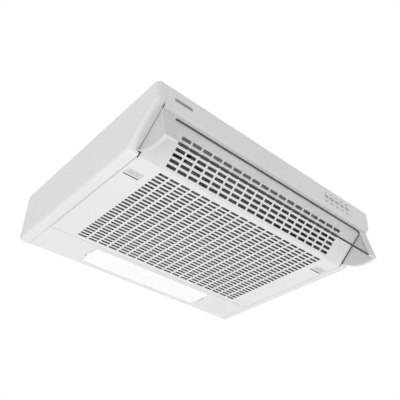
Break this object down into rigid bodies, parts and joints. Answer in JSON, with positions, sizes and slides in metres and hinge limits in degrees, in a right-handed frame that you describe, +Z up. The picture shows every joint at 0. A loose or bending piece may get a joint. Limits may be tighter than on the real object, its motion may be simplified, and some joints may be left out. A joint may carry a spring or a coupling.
{
  "type": "cooker hood",
  "caption": "Visor cooker hood hung under a wall cupboard: drop-down slotted filter grille, swing-out clear visor, push buttons, lamp and top duct collar with non-return flaps.",
  "frame": {"origin": "centre of the four cupboard screw holes, on the outside of the top panel", "axes": "+X to the right seen from the front, the front faces -Y, +Z up out of the top"},
  "size_m": [0.6, 0.4735, 0.1603],
  "materials": {
    "white_steel": "white stove enamel, semi gloss",
    "white_plastic": "white moulded plastic, semi gloss",
    "galvanised": "galvanised sheet, dull",
    "zinc_steel": "zinc plated, satin",
    "black_plastic": "moulded, fine texture",
    "grey_plastic": "moulded, satin",
    "light_plastic": "light grey moulded plastic, satin",
    "collar_plastic": "moulded, satin",
    "rubber": "matt",
    "aluminium": "mill finish",
    "mesh": "expanded metal layers",
    "smoked_clear": "clear acrylic with a light smoke tint, polished",
    "diffuser": "opal, light diffusing",
    "bulb_glass": "clear",
    "brass": "bright",
    "copper": "enamelled windings",
    "lead_white": "flexible sheath"
  },
  "bodies": {
    "housing": {"top_panel": "galvanised", "rear_panel": "galvanised", "end_cap_left": "white_steel", "end_cap_right": "white_steel", "fascia": "white_steel", "slope_grille": "white_steel", "lamp_panel": "white_steel", "exhaust_collar": "collar_plastic", "flap_pin": "zinc_steel", "scroll_housing": "grey_plastic", "scroll_cover": "grey_plastic", "inlet_ring": "grey_plastic", "motor_bracket": "zinc_steel", "motor_case": "zinc_steel", "motor_stator": "copper", "fan_mounts": "rubber", "fan_screws": "zinc_steel", "cover_screws": "zinc_steel", "motor_screws": "zinc_steel", "collar_screws": "zinc_steel", "capacitor": "grey_plastic", "terminal_box": "black_plastic", "terminal_lid": "black_plastic", "terminal_block": "white_plastic", "cable_gland": "black_plastic", "internal_leads": "lead_white", "switch_bezel": "white_plastic", "switch_body": "black_plastic", "lamp_tray": "galvanised", "lamp_holders": "white_plastic", "bulb_caps": "brass", "bulb_glass": "bulb_glass", "grille_brackets": "zinc_steel", "grille_pins": "zinc_steel", "visor_brackets": "zinc_steel", "visor_pins": "zinc_steel"},
    "grille": {"grille_panel": "white_steel", "filter_frame": "aluminium", "filter_mesh": "mesh", "filter_wires": "zinc_steel"},
    "latch_left": {"latch_left": "light_plastic"},
    "latch_right": {"latch_right": "light_plastic"},
    "visor": {"visor_plate": "smoked_clear", "visor_cheek_left": "light_plastic", "visor_cheek_right": "light_plastic", "visor_screws": "zinc_steel"},
    "rotor": {"impeller": "grey_plastic", "motor_shaft": "zinc_steel", "motor_rotor": "zinc_steel", "impeller_nut": "brass"},
    "flap_left": {"flap_left": "collar_plastic"},
    "flap_right": {"flap_right": "collar_plastic"},
    "diffuser": {"lamp_diffuser": "diffuser"},
    "button_off": {"button_off": "grey_plastic"},
    "button_low": {"button_low": "grey_plastic"},
    "button_medium": {"button_medium": "grey_plastic"},
    "button_high": {"button_high": "grey_plastic"},
    "button_lamp": {"button_lamp": "grey_plastic"}
  },
  "joints": [
    {"name": "grille_hinge", "type": "hinge", "parent": "housing", "child": "grille", "pos_m": [0, 0.1398, -0.1068], "axis": [1, 0, 0], "range_deg": [0, 88]},
    {"name": "latch_left_slide", "type": "slide", "parent": "grille", "child": "latch_left", "axis": [0, 1, 0], "range_m": [0, 0.004], "stiffness_N_per_m": 600, "springref_m": -0.003},
    {"name": "latch_right_slide", "type": "slide", "parent": "grille", "child": "latch_right", "axis": [0, 1, 0], "range_m": [0, 0.004], "stiffness_N_per_m": 600, "springref_m": -0.003},
    {"name": "visor_hinge", "type": "hinge", "parent": "housing", "child": "visor", "pos_m": [0, -0.2155, -0.0475], "axis": [1, 0, 0], "range_deg": [0, 59.3]},
    {"name": "fan_spin", "type": "hinge", "parent": "housing", "child": "rotor", "pos_m": [-0.118, -0.004, -0.05], "axis": [0, 0, 1], "continuous": true},
    {"name": "flap_left_hinge", "type": "hinge", "parent": "housing", "child": "flap_left", "pos_m": [0, 0.065, 0.007], "axis": [0, 1, 0], "range_deg": [0, 75]},
    {"name": "flap_right_hinge", "type": "hinge", "parent": "housing", "child": "flap_right", "pos_m": [0, 0.065, 0.007], "axis": [0, -1, 0], "range_deg": [0, 75]},
    {"name": "diffuser_drop", "type": "slide", "parent": "housing", "child": "diffuser", "axis": [0, 0, -1], "range_m": [0, 0.04]},
    {"name": "button_off_push", "type": "slide", "parent": "housing", "child": "button_off", "axis": [0, 1, 0], "range_m": [0, 0.0025], "stiffness_N_per_m": 500, "springref_m": -0.002},
    {"name": "button_low_push", "type": "slide", "parent": "housing", "child": "button_low", "axis": [0, 1, 0], "range_m": [0, 0.0025], "stiffness_N_per_m": 500, "springref_m": -0.002},
    {"name": "button_medium_push", "type": "slide", "parent": "housing", "child": "button_medium", "axis": [0, 1, 0], "range_m": [0, 0.0025], "stiffness_N_per_m": 500, "springref_m": -0.002},
    {"name": "button_high_push", "type": "slide", "parent": "housing", "child": "button_high", "axis": [0, 1, 0], "range_m": [0, 0.0025], "stiffness_N_per_m": 500, "springref_m": -0.002},
    {"name": "button_lamp_push", "type": "slide", "parent": "housing", "child": "button_lamp", "axis": [0, 1, 0], "range_m": [0, 0.0025], "stiffness_N_per_m": 500, "springref_m": -0.002}
  ]
}
